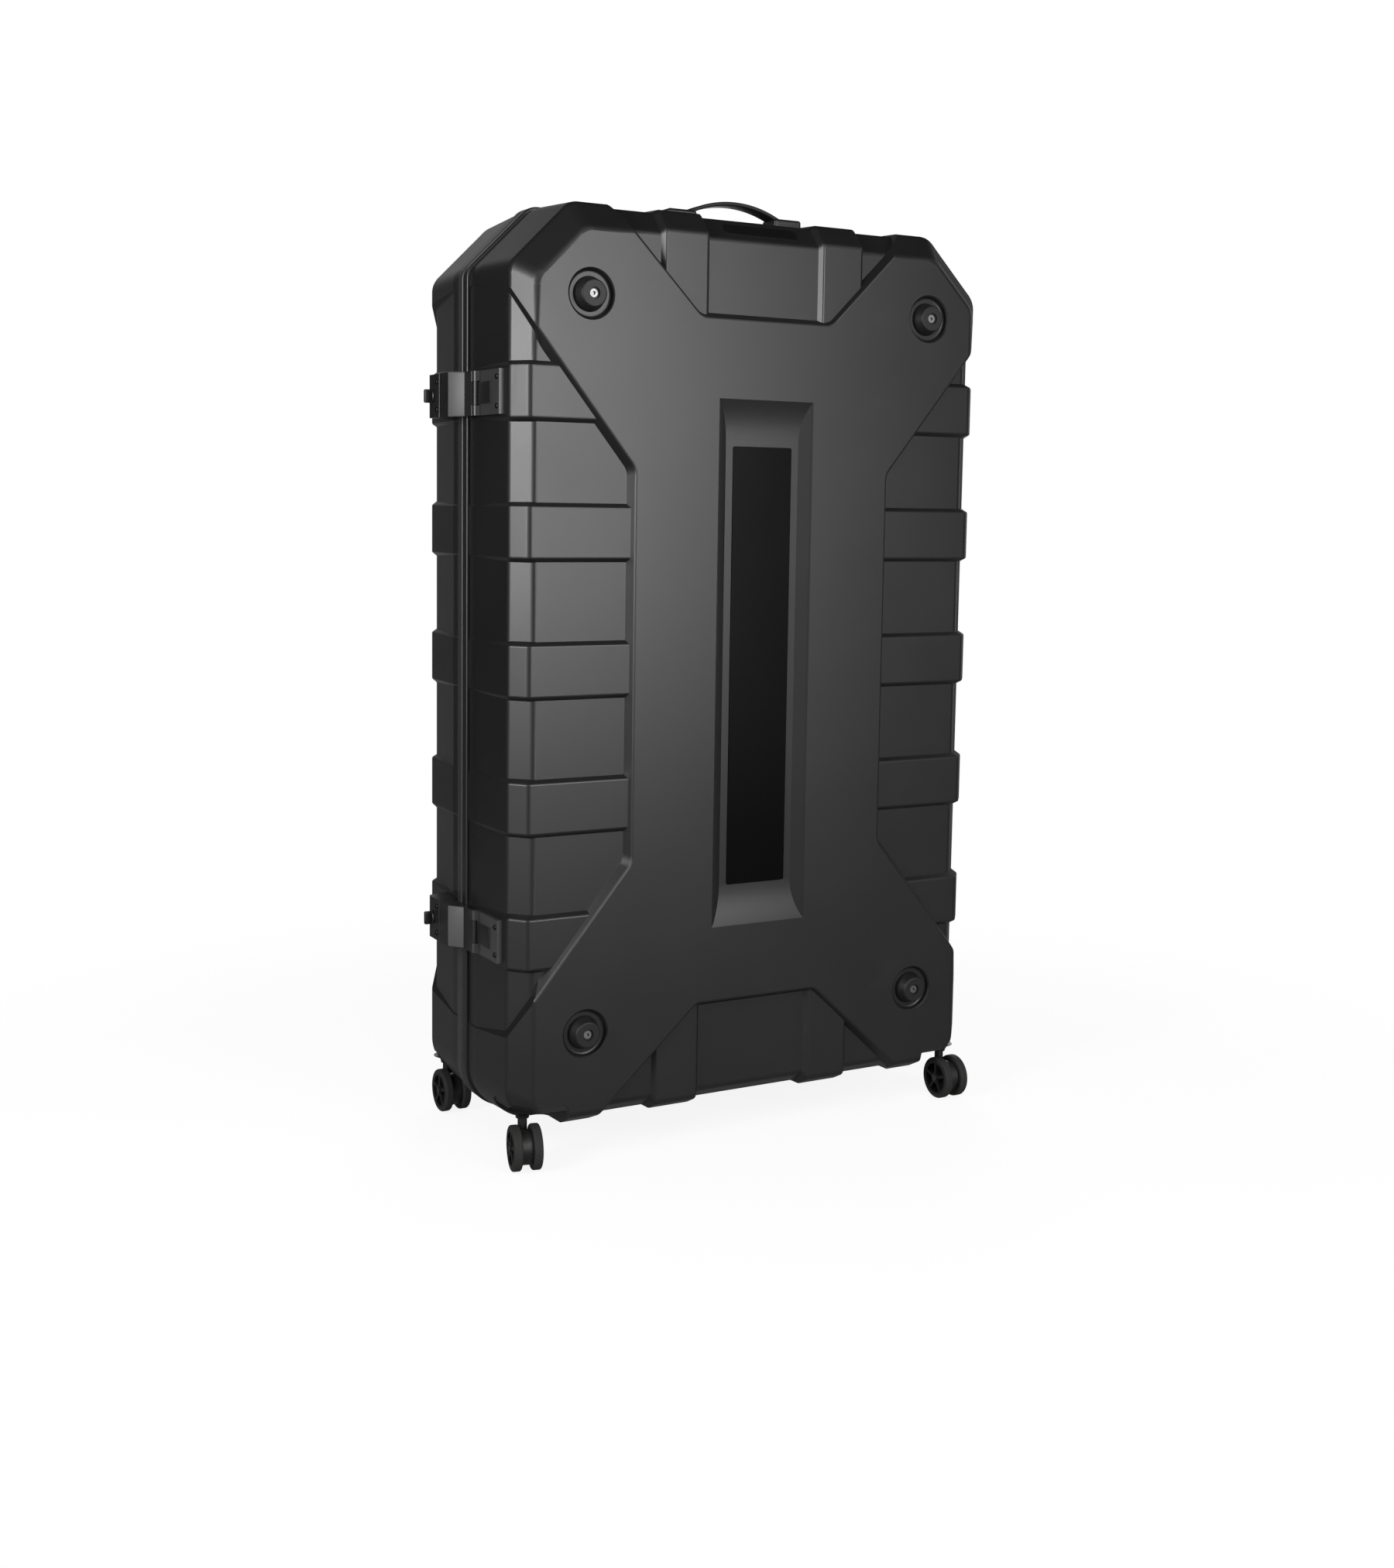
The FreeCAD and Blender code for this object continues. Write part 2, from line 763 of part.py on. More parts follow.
def latch_lever():
    half = latch_height / 2
    rise = half - latch_knuckle - latch_knuckle_gap
    outside = lever_inside + lever_thick
    corners = [(-lever_inside, -lever_start, 0), (-lever_inside, lever_end, 0),
               (-lever_crest, lever_end, lever_round), (-lever_crest, lever_ramp_end, lever_round),
               (-outside, -lever_ramp_start, lever_thick), (-outside, -lever_start, lever_round)]
    plate = prism(corners, lambda u, v: point(u, v, -half), point(0, 0, latch_height))
    axis = [point(-latch_axis_x, -latch_axis_y, z) for z in (-rise, rise)]
    barrel = rod(latch_barrel_radius, *axis)
    web = block((-latch_axis_x, -outside), (-latch_axis_y, -lever_start), (-rise, rise))
    bore = rod(latch_pin_radius + run_clearance, point(-latch_axis_x, -latch_axis_y, -half),
               point(-latch_axis_x, -latch_axis_y, half))
    return plate.fuse([barrel, web]).cut(bore)


def latch_keeper():
    half = latch_height / 2
    start = lever_end + 2 * face_clearance
    deep = half_width - latch_root
    corners = [(-deep, start, 0), (-lever_crest, start, lever_round),
               (-lever_crest, keeper_end - keeper_slope, lever_thick),
               (-half_width, keeper_end, lever_round), (-deep, keeper_end, 0)]
    body = prism(corners, lambda u, v: point(u, v, -half), point(0, 0, latch_height))
    bore = rod(knob_shaft_radius + run_clearance, point(-lever_crest - overrun, knob_place, 0),
               point(-lever_crest + knob_shaft_length + face_clearance, knob_place, 0))
    return body.cut(bore)


def lock_knob():
    seat = -lever_crest - face_clearance
    crown = seat - knob_disc_thick
    shaft = rod(knob_shaft_radius, point(-lever_crest + knob_shaft_length, knob_place, 0),
                point(crown, knob_place, 0))
    disc = rod(knob_disc_radius, point(seat, knob_place, 0), point(crown, knob_place, 0))
    half = knob_grip_thick / 2
    grip = block((crown - knob_grip_height, seat), (knob_place - half, knob_place + half),
                 (-knob_grip_half, knob_grip_half))
    lips = [edge for edge in grip.Edges
            if all(vertex.Point.x < crown for vertex in edge.Vertexes)]
    return grip.makeFillet(knob_round, lips).fuse([shaft, disc])


def raised(shape, height):
    return shape.translated(point(0, 0, height))


back_raised_form = to_back(raised_form)
latch_levers = {name: raised(latch_lever(), z) for name, z in latch_heights.items()}
lock_knobs = {name: raised(lock_knob(), z) for name, z in latch_heights.items()}
latch_pins = Part.makeCompound([raised(latch_pin(), z) for z in latch_heights.values()])
latch_screw_heights = [z + rise for z in latch_heights.values()
                       for rise in (-latch_screw_rise, latch_screw_rise)]
latch_screw_y = latch_screw_inset - latch_plate_far
latch_screws = [pan_screw(point(-latch_plate_top, latch_screw_y, z), (1, 0, 0))
                for z in latch_screw_heights]
keeper_screw_y = lever_end + keeper_screw_inset
keeper_screws = [pan_screw(point(-lever_crest, keeper_screw_y, z), (1, 0, 0))
                 for z in latch_screw_heights]
front_screws = Part.makeCompound(handle_screws + latch_screws)
back_screws = Part.makeCompound(keeper_screws)
latch_bases = Part.makeCompound([raised(latch_base(), z) for z in latch_heights.values()])
latch_bases = latch_bases.cut([raised_form, latch_pins, front_screws])
latch_keepers = Part.makeCompound([raised(latch_keeper(), z) for z in latch_heights.values()])
latch_keepers = latch_keepers.cut([back_raised_form, back_screws])
handle_feet = Part.makeCompound([handle_foot_right, to_left(handle_foot_right)]).cut(front_screws)


# Hinges, drawn round height zero and copied to the middle bands
hinge_heights = band_heights[1:1 + hinge_count]


def hinge_leaf(side, spans):
    """Leaf on one shell (side -1 front, 1 back) with its knuckles over the given spans."""
    half = hinge_height / 2
    deep = half_width - frame_inside / 2
    y_span = (side * hinge_leaf_near, side * hinge_leaf_far)
    leaf = block((deep, hinge_leaf_out), y_span, (-half, half))
    pieces = []
    for span in spans:
        pieces.append(rod(hinge_barrel_radius, *[point(hinge_axis_x, 0, z) for z in span]))
        pieces.append(block((hinge_leaf_out - hinge_leaf_near, hinge_axis_x),
                            (0, side * hinge_barrel_radius), span))
    return leaf.fuse(pieces)


half_hinge = hinge_height / 2
inner_knuckle = half_hinge - hinge_knuckle - hinge_gap
outer_spans = [(-half_hinge, hinge_knuckle - half_hinge), (half_hinge - hinge_knuckle, half_hinge)]
hinge_axis = [point(hinge_axis_x, 0, z) for z in (-half_hinge, half_hinge)]
hinge_pin = rod(hinge_pin_radius, *hinge_axis)
hinge_bore = rod(hinge_pin_radius + run_clearance, *hinge_axis)
hinge_pins = Part.makeCompound([raised(hinge_pin, z) for z in hinge_heights])
front_leaf = hinge_leaf(-1, [(-inner_knuckle, inner_knuckle)]).cut(hinge_bore)
back_leaf = hinge_leaf(1, outer_spans).cut(hinge_pin)
rivet_place = (hinge_leaf_near + frame_depth + hinge_leaf_far) / 2
rivet_heights = [z + rise for z in hinge_heights for rise in (-hinge_rivet_rise, hinge_rivet_rise)]
front_rivets = Part.makeCompound([rivet(point(hinge_leaf_out, -rivet_place, z), (-1, 0, 0))
                                  for z in rivet_heights])
back_rivets = to_back(front_rivets)
hinge_leaves_front = Part.makeCompound([raised(front_leaf, z) for z in hinge_heights])
hinge_leaves_front = hinge_leaves_front.cut([raised_form, front_frame, front_rivets])
hinge_leaves_back = Part.makeCompound([raised(back_leaf, z) for z in hinge_heights])
hinge_leaves_back = hinge_leaves_back.cut([back_raised_form, plain_back_frame, back_rivets])


# Casters, drawn with the stem at the origin, wheels trailing towards -Y
axle_height = wheel_radius
yoke_half = wheel_spacing / 2 - wheel_gap


def caster_yoke():
    stem = rod(stem_radius, point(0, 0, axle_height), point(0, 0, pocket_top - 2 * face_clearance))
    neck = rod(neck_radius, point(0, 0, axle_height), point(0, 0, mount_cone_low - face_clearance))
    hub = rod(hub_radius, point(-yoke_half, -caster_trail, axle_height),
              point(yoke_half, -caster_trail, axle_height))
    return hub.fuse([neck, stem]).cut(axle())


def axle():
    reach = wheel_spacing / 2 + wheel_width + 2 * face_clearance
    ends = [point(side * reach, -caster_trail, axle_height) for side in (-1, 1)]
    caps = [rod(axle_cap_radius, end, end + point(side * axle_cap_thick, 0, 0))
            for side, end in zip((-1, 1), ends)]
    return rod(axle_radius, *ends).fuse(caps)


def wheel_axis(offset):
    return point(wheel_spacing / 2 + offset, -caster_trail, axle_height)


def wheel():
    """Rim and hub joined by spokes and a closed web, with the bore for the axle."""
    start = wheel_axis(0)
    end = wheel_axis(wheel_width)
    rim = rod(wheel_radius - tyre_thick, start, end).cut(rod(spoke_outer_radius, start, end))
    spoke = block((start.x, end.x), (start.y - spoke_width / 2, start.y + spoke_width / 2),
                  (start.z, start.z + wheel_radius - tyre_thick - tolerance))
    spokes = [spoke.rotated(start, point(1, 0, 0), math.degrees(2 * math.pi) * i / spoke_count)
              for i in range(spoke_count)]
    hub = rod(spoke_inner_radius, start, end)
    web = rod(spoke_outer_radius + tolerance, start, wheel_axis(web_thick))
    return rim.fuse(spokes + [hub, web]).cut(rod(axle_radius + run_clearance, start, end))


def tyre():
    ring = rod(wheel_radius, wheel_axis(0), wheel_axis(wheel_width))
    rims = [edge for edge in ring.Edges if edge.isClosed() and len(edge.Vertexes) == 1]
    seat = rod(wheel_radius - tyre_thick, wheel_axis(-overrun), wheel_axis(wheel_width + overrun))
    return ring.makeFillet(tyre_round, rims).cut(seat)


def caster_mount(pocket_shape):
    """Plate under the pocket roof with the hollow-sided cone that the stem turns in."""
    x, y = caster_place_x, -caster_place_depth
    low = pocket_top - mount_thick
    plate = level_body(panel_level, mount_gap).common(pocket_shape)
    plate = plate.common(block((half_width - pocket_reach + mount_gap, case_width),
                               (-case_depth, -pocket_back - mount_gap), (low, pocket_top)))
    cone = rod(mount_neck_radius + mount_cone_height, point(x, y, mount_cone_low), point(x, y, low))
    cone = cone.cut(Part.makeTorus(mount_neck_radius + mount_cone_height, mount_cone_height,
                                   point(x, y, mount_cone_low)))
    bore = rod(stem_radius + run_clearance, point(x, y, mount_cone_low - overrun),
               point(x, y, pocket_top - face_clearance))
    return plate.fuse(cone).cut(bore)


mount_right = caster_mount(pocket_cutters(0)[0])
caster_mounts_front = Part.makeCompound([mount_right, to_left(mount_right)])
caster_turns = {"front_left": first_caster_turn, "front_right": 0, "back_left": 0, "back_right": 0}


def placed_caster(shape, corner):
    side = -1 if corner.endswith("left") else 1
    depth = -1 if corner.startswith("front") else 1
    turned = shape.rotated(point(0, 0, 0), point(0, 0, 1), caster_turns[corner])
    return turned.translated(point(side * caster_place_x, depth * caster_place_depth, 0))


# Nodes
front_shell = bare_shell.cut([front_screws, front_rivets])
back_shell = to_back(bare_shell).cut([back_screws, back_rivets])
nodes = {
    "front_shell": front_shell,
    "back_shell": back_shell,
    "front_frame": front_frame,
    "back_frame": back_frame,
    "seal": seal,
    "front_feet": front_feet,
    "back_feet": to_back(front_feet),
    "front_foot_screws": foot_screws,
    "back_foot_screws": to_back(foot_screws),
    "front_posts": front_posts,
    "back_posts": to_back(front_posts),
    "front_foam": front_foam,
    "back_foam": to_back(front_foam),
    "tie_straps": tie_straps,
    "strap_buckles": strap_buckles,
    "label_plate": label_plate,
    "badge_plate": badge_plate,
    "handle_strap": handle_strap,
    "handle_feet": handle_feet,
    "front_screws": front_screws,
    "back_screws": back_screws,
    "latch_bases": latch_bases,
    "latch_pins": latch_pins,
    "latch_keepers": latch_keepers,
    "hinge_leaves_front": hinge_leaves_front,
    "hinge_leaves_back": hinge_leaves_back,
    "hinge_pins": hinge_pins,
    "hinge_rivets_front": front_rivets,
    "hinge_rivets_back": back_rivets,
    "caster_mounts_front": caster_mounts_front,
    "caster_mounts_back": to_back(caster_mounts_front),
}
for name in latch_heights:
    nodes["latch_lever_" + name] = latch_levers[name]
    nodes["lock_knob_" + name] = lock_knobs[name]
for corner in caster_turns:
    nodes["caster_yoke_" + corner] = placed_caster(caster_yoke(), corner)
    nodes["axle_" + corner] = placed_caster(axle(), corner)
    for name, hand in (("right", lambda shape: shape), ("left", to_left)):
        nodes["wheel_" + corner + "_" + name] = placed_caster(hand(wheel()), corner)
        nodes["tyre_" + corner + "_" + name] = placed_caster(hand(tyre()), corner)

os.makedirs("parts", exist_ok=True)
for name, shape in nodes.items():
    shape.exportStep("parts/" + name + ".step")
    print(name, len(shape.Solids), shape.isValid(), round(shape.Volume / 1000, 1))
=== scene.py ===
# Looks of an upright hard travel case for a bicycle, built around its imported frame.
import bmesh
import bpy
import json
import math
from mathutils import Euler, Matrix, Vector


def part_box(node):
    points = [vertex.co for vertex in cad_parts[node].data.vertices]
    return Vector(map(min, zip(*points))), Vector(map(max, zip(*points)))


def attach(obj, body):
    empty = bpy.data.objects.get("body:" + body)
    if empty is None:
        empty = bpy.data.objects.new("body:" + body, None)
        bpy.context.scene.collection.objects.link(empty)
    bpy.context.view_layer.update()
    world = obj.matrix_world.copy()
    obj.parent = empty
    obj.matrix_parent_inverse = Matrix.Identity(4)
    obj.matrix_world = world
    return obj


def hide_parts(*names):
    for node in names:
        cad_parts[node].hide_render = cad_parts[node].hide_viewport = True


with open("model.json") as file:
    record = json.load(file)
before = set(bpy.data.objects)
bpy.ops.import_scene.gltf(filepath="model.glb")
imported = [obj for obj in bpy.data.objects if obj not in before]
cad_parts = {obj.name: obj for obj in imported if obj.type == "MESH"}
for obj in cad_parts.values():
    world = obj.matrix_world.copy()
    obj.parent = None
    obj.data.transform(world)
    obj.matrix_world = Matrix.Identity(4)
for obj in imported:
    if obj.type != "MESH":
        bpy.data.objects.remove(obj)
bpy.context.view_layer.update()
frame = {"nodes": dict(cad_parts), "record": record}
nodes = frame["nodes"]
scene = bpy.context.scene
scene.view_settings.view_transform = "Standard"
millimetre = 0.001

# Camera at the photograph's viewing angle
camera_place = (-1.3001, -2.3205, 0.8793)
camera_turn = (84.202, -0.832, -29.0)
camera_lens = 42.01
camera_shift = -0.058

# Studio
white = (1, 1, 1, 1)
black = (0, 0, 0, 1)
ambient_level = 0.36
floor_white = 0.93
floor_roughness = 0.9
floor_glow = 0.88
floor_reach = 14.0
floor_near = 0.7
floor_far = 1.5

# Soft and small pieces, lengths in metres
weld = 0.02 * millimetre
pad_voxel = 5.2 * millimetre
pad_pitch = 52 * millimetre
pad_hollow = 10 * millimetre
pad_smoothing = 3
strap_thick = 2 * millimetre
strap_bend = 7 * millimetre
strap_bend_steps = 6
buckle_edge = 2 * millimetre
buckle_frame = 6 * millimetre
buckle_dish = 2.5 * millimetre
cam_tilt = math.radians(3)
cam_bars = (0.25, 0.45, 0.65, 0.85)
handle_half = 70 * millimetre
handle_rise = 16 * millimetre
handle_thick = 5.2 * millimetre
handle_edge = 2.2 * millimetre
handle_edge_steps = 4
handle_margin = 4 * millimetre
knob_disc_radius = 9 * millimetre
knob_disc_thick = 2.6 * millimetre
knob_shaft_radius = 3 * millimetre
knob_shaft = 9.3 * millimetre
knob_grip_thick = 6.4 * millimetre
knob_edge = 1.6 * millimetre
knob_chamfer = knob_edge / 2
knob_step = knob_edge / 3
knob_ridges = 5
tab_top = 376 * millimetre
tab_near = 58.5 * millimetre
tab_far = 99.5 * millimetre
tab_half = 14 * millimetre
tab_cap = 0.7 * millimetre
ramp_foot = Vector((-381.5 * millimetre, -26 * millimetre, 0))
ramp_crest = Vector((-398 * millimetre, -5 * millimetre, 0))
ramp_margin = 1.2 * millimetre
ramp_plate = 0.5 * millimetre
screw_head_radius = 3.6 * millimetre
screw_head_height = 2 * millimetre
screw_socket_radius = 1.5 * millimetre
round_steps = 32
fine_edge_steps = 2
sharp_angle = math.radians(38)
box_digits = 4
leftward = Vector((-1, 0, 0))
upward = Vector((0, 0, 1))

# Screw head: shares of head radius and height, then of socket radius and height
screw_dome = ((0.0, 0.0), (1.0, 0.0), (1.0, 0.35), (0.9, 0.68), (0.7, 0.92))
screw_socket = ((1.2, 1.0), (1.0, 1.0), (1.0, 0.4), (0.0, 0.3))

# Moulded plastic and rubber
grain_strength = 0.35
fleck_scale = 6.0
fleck_range = (0.2, 0.9)
fleck_tone = 1.16
fleck_roughness = 0.06
worn_tone = 1.9
worn_lift = 0.012
worn_roughness = 0.18
dust_share = 0.25

# Scuffs and dust
scuff_turn = (0.4, 0.9, 0.3)
scuff_stretch = (1.0, 9.0, 1.6)
scuff_detail = 6.0
scuff_range = (0.62, 0.78)
patch_scale = 3.0
patch_range = (0.45, 0.65)
dust_facing = (0.35, 1.0)
dust_scale = 40.0
dust_detail = 5.0
dust_range = (0.4, 0.75)

# Plated steel
brush_scale = 420.0
brush_detail = 4.0
brush_range = (0.3, 0.8)
brush_tone = 0.72
brush_roughness = 0.16

# Foam
pore_scale = 620.0
pore_range = (0.15, 0.6)
pore_depth = 0.5 * millimetre
pore_strength = 0.7
# Share of the foam colour left in the cell hollows: painted shade
pore_shade = 0.45
skin_scale = 9.0
skin_detail = 4.0
skin_range = (0.3, 0.75)
skin_tone = 1.35
foam_roughness = 0.96
foam_specular = 0.15

# Webbing
yarn_pitch_along = 2.4 * millimetre
yarn_pitch_across = 1.9 * millimetre
yarn_range = (-0.9, 0.9)
yarn_depth = 0.3 * millimetre
yarn_strength = 0.8
# Colour shares for the weave's hollows (painted shade) and yarn tops (painted highlight)
yarn_shade = 0.5
yarn_highlight = 1.5
fuzz_scale = 1300.0
fuzz_detail = 2.0
fuzz_floor = 0.3
webbing_roughness = 0.8
webbing_specular = 0.3


def linear(level):
    """Linear value of a screen grey from 0 to 255."""
    share = level / 255
    return share / 12.92 if share <= 0.04045 else ((share + 0.055) / 1.055) ** 2.4


def grey(level, warmth=0.0):
    value = linear(level)
    return (value * (1 + warmth), value, value * (1 - warmth), 1.0)


# Shared shader effects
def effect(name, inputs, outputs):
    """Empty node group with float inputs (name, default) and outputs (name, socket type)."""
    group = bpy.data.node_groups.new(name, "ShaderNodeTree")
    for label, default in inputs:
        socket = group.interface.new_socket(label, in_out="INPUT", socket_type="NodeSocketFloat")
        socket.default_value = default
    for label, kind in outputs:
        group.interface.new_socket(label, in_out="OUTPUT", socket_type=kind)
    return group, group.nodes.new("NodeGroupInput"), group.nodes.new("NodeGroupOutput")


def maths(tree, operation, first, second=0.0):
    node = tree.nodes.new("ShaderNodeMath")
    node.operation = operation
    for slot, value in zip(node.inputs, (first, second)):
        if isinstance(value, (int, float)):
            slot.default_value = value
        else:
            tree.links.new(value, slot)
    return node.outputs[0]


def ramp(tree, value, low, high):
    node = tree.nodes.new("ShaderNodeMapRange")
    node.interpolation_type = "SMOOTHSTEP"
    node.inputs["From Min"].default_value = low
    node.inputs["From Max"].default_value = high
    tree.links.new(value, node.inputs["Value"])
    return node.outputs["Result"]


def noise(tree, vector, scale, detail=3.0):
    node = tree.nodes.new("ShaderNodeTexNoise")
    node.inputs["Detail"].default_value = detail
    if isinstance(scale, (int, float)):
        node.inputs["Scale"].default_value = scale
    else:
        tree.links.new(scale, node.inputs["Scale"])
    tree.links.new(vector, node.inputs["Vector"])
    return node.outputs["Fac"]


def moulded_grain():
    """Fine spark texture of moulded plastic."""
    group, source, target = effect("moulded_grain", [("Grain Scale", 900.0)],
                                   [("Height", "NodeSocketFloat"), ("Fleck", "NodeSocketFloat")])
    place = group.nodes.new("ShaderNodeTexCoord").outputs["Object"]
    cells = group.nodes.new("ShaderNodeTexVoronoi")
    group.links.new(source.outputs["Grain Scale"], cells.inputs["Scale"])
    group.links.new(place, cells.inputs["Vector"])
    soft = noise(group, place, source.outputs["Grain Scale"])
    group.links.new(maths(group, "ADD", cells.outputs["Distance"], soft), target.inputs["Height"])
    group.links.new(noise(group, place, fleck_scale), target.inputs["Fleck"])
    return group


def handling_marks():
    """Faint scuffs and a little dust from being carried about."""
    group, source, target = effect("handling_marks", [("Mark Scale", 9.0), ("Amount", 0.5)],
                                   [("Scuff", "NodeSocketFloat"), ("Dust", "NodeSocketFloat")])
    place = group.nodes.new("ShaderNodeTexCoord").outputs["Object"]
    stretch = group.nodes.new("ShaderNodeMapping")
    stretch.inputs["Rotation"].default_value = scuff_turn
    stretch.inputs["Scale"].default_value = scuff_stretch
    group.links.new(place, stretch.inputs["Vector"])
    rubbed = noise(group, stretch.outputs["Vector"], source.outputs["Mark Scale"], scuff_detail)
    streaks = ramp(group, rubbed, *scuff_range)
    patches = ramp(group, noise(group, place, patch_scale), *patch_range)
    broken = maths(group, "MULTIPLY", streaks, patches)
    scuff = maths(group, "MULTIPLY", broken, source.outputs["Amount"])
    facing = group.nodes.new("ShaderNodeSeparateXYZ")
    group.links.new(group.nodes.new("ShaderNodeNewGeometry").outputs["Normal"], facing.inputs["Vector"])
    facing_up = ramp(group, facing.outputs["Z"], *dust_facing)
    settled = ramp(group, noise(group, place, dust_scale, dust_detail), *dust_range)
    lying = maths(group, "MULTIPLY", facing_up, settled)
    dust = maths(group, "MULTIPLY", lying, source.outputs["Amount"])
    group.links.new(scuff, target.inputs["Scuff"])
    group.links.new(dust, target.inputs["Dust"])
    return group


grain_effect = moulded_grain()
marks_effect = handling_marks()


def place_effect(tree, group, **values):
    node = tree.nodes.new("ShaderNodeGroup")
    node.node_tree = group
    for label, value in values.items():
        node.inputs[label.replace("_", " ").title()].default_value = value
    return node


def mixed(tree, share, first, second):
    """Colour between two, each a plain colour or a socket."""
    node = tree.nodes.new("ShaderNodeMix")
    node.data_type = "RGBA"
    tree.links.new(share, node.inputs["Factor"])
    for label, value in (("A", first), ("B", second)):
        if isinstance(value, tuple):
            node.inputs[label].default_value = value
        else:
            tree.links.new(value, node.inputs[label])
    return node.outputs["Result"]


def bumped(tree, bsdf, height, distance, strength):
    bump = tree.nodes.new("ShaderNodeBump")
    bump.inputs["Strength"].default_value = strength
    bump.inputs["Distance"].default_value = distance
    tree.links.new(height, bump.inputs["Height"])
    tree.links.new(bump.outputs["Normal"], bsdf.inputs["Normal"])


def new_material(name):
    material = bpy.data.materials.new(name)
    material.use_nodes = True
    return material, material.node_tree, material.node_tree.nodes["Principled BSDF"]


def toned(colour, share, lift=0.0):
    return tuple(min(1.0, channel * share + lift) for channel in colour[:3]) + (1.0,)


def moulded(name, colour, roughness, grain_scale, grain_depth, specular, marks):
    """Moulded plastic or rubber with a fine grain, slight scuffs and dust."""
    material, tree, bsdf = new_material(name)
    grain = place_effect(tree, grain_effect, grain_scale=grain_scale)
    worn = place_effect(tree, marks_effect, amount=marks)
    fleck = grain.outputs["Fleck"]
    clean = mixed(tree, ramp(tree, fleck, *fleck_range), colour, toned(colour, fleck_tone))
    dust = maths(tree, "MULTIPLY", worn.outputs["Dust"], dust_share)
    wear = maths(tree, "MAXIMUM", worn.outputs["Scuff"], dust)
    tree.links.new(mixed(tree, wear, clean, toned(colour, worn_tone, worn_lift)), bsdf.inputs["Base Color"])
    spread = maths(tree, "MULTIPLY", fleck, fleck_roughness)
    rough = maths(tree, "ADD", spread, roughness - fleck_roughness / 2)
    rubbed = maths(tree, "MULTIPLY", wear, worn_roughness)
    tree.links.new(maths(tree, "ADD", rough, rubbed), bsdf.inputs["Roughness"])
    bumped(tree, bsdf, grain.outputs["Height"], grain_depth * millimetre, grain_strength)
    bsdf.inputs["Specular IOR Level"].default_value = specular
    return material


def plated_steel(name, colour, roughness):
    """Plated steel with a fine brushed variation."""
    material, tree, bsdf = new_material(name)
    place = tree.nodes.new("ShaderNodeTexCoord").outputs["Object"]
    brushed = noise(tree, place, brush_scale, brush_detail)
    tone = mixed(tree, ramp(tree, brushed, *brush_range), colour, toned(colour, brush_tone))
    tree.links.new(tone, bsdf.inputs["Base Color"])
    spread = maths(tree, "MULTIPLY", brushed, brush_roughness)
    rough = maths(tree, "ADD", spread, roughness - brush_roughness / 2)
    tree.links.new(rough, bsdf.inputs["Roughness"])
    bsdf.inputs["Metallic"].default_value = 1.0
    return material


def open_cell_foam(name, colour):
    """Dark foam with open cells, painted shade in the cell hollows, and a skin in slightly lighter patches.
    """
    material, tree, bsdf = new_material(name)
    place = tree.nodes.new("ShaderNodeTexCoord").outputs["Object"]
    cells = tree.nodes.new("ShaderNodeTexVoronoi")
    cells.inputs["Scale"].default_value = pore_scale
    tree.links.new(place, cells.inputs["Vector"])
    pores = ramp(tree, cells.outputs["Distance"], *pore_range)
    patchy = noise(tree, place, skin_scale, skin_detail)
    tone = mixed(tree, ramp(tree, patchy, *skin_range), colour, toned(colour, skin_tone))
    # The cell hollows are darker: painted shade
    tree.links.new(mixed(tree, pores, toned(colour, pore_shade), tone), bsdf.inputs["Base Color"])
    bumped(tree, bsdf, pores, pore_depth, pore_strength)
    bsdf.inputs["Roughness"].default_value = foam_roughness
    bsdf.inputs["Specular IOR Level"].default_value = foam_specular
    return material


def yarns(tree, position, pitch):
    """Wave from -1 to 1 across one set of parallel yarns."""
    return maths(tree, "SINE", maths(tree, "MULTIPLY", position, 2 * math.pi / pitch))


def woven_webbing(name, colour):
    """Flat webbing, with crossed yarns seen along X and Z; the yarn tops get painted highlight and the
    hollows between them painted shade.
    """
    material, tree, bsdf = new_material(name)
    place = tree.nodes.new("ShaderNodeTexCoord").outputs["Object"]
    axes = tree.nodes.new("ShaderNodeSeparateXYZ")
    tree.links.new(place, axes.inputs["Vector"])
    along = yarns(tree, axes.outputs["X"], yarn_pitch_along)
    across = yarns(tree, axes.outputs["Z"], yarn_pitch_across)
    weave = ramp(tree, maths(tree, "MULTIPLY", along, across), *yarn_range)
    fuzz = noise(tree, place, fuzz_scale, fuzz_detail)
    shade = maths(tree, "MULTIPLY", weave, maths(tree, "ADD", fuzz, fuzz_floor))
    # Weave relief painted into the colour: shade in the hollows, highlight on the yarn tops
    tone = mixed(tree, shade, toned(colour, yarn_shade), toned(colour, yarn_highlight))
    tree.links.new(tone, bsdf.inputs["Base Color"])
    bumped(tree, bsdf, weave, yarn_depth, yarn_strength)
    bsdf.inputs["Roughness"].default_value = webbing_roughness
    bsdf.inputs["Specular IOR Level"].default_value = webbing_specular
    return material


